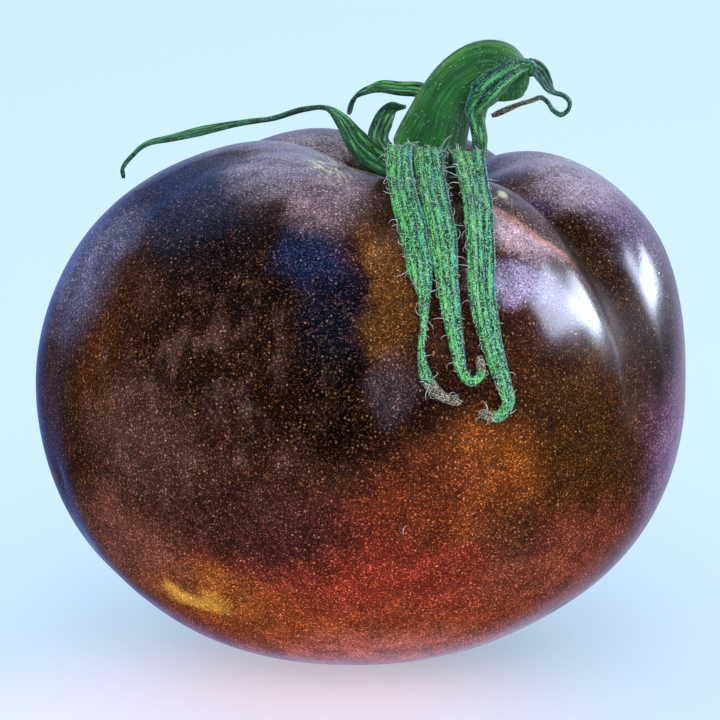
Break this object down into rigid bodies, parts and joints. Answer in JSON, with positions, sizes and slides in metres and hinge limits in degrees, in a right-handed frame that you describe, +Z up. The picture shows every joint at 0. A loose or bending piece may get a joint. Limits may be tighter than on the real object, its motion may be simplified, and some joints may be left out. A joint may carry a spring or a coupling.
{
  "type": "indigo chocolate tomato",
  "caption": "Ripe dark-skinned heirloom tomato with ribbed shoulders, a furrowed stem hollow, draped dried-tipped sepals and a short leaning stem stump.",
  "frame": {"origin": "middle of the small flat spot the fruit rests on", "axes": "+Z up, +X to the right and -Y towards the viewer, with the longest front sepals hanging down the front"},
  "size_m": [0.0792, 0.0766, 0.0757],
  "materials": {
    "fruit": "thin waxy tomato skin, dark chocolate brown with indigo shoulders",
    "calyx": "hairy grey-green sepals with dried tips",
    "stem": "fuzzy dark green stalk"
  },
  "bodies": {
    "root": {"fruit": "fruit", "calyx": "calyx", "stem": "stem"}
  },
  "joints": []
}
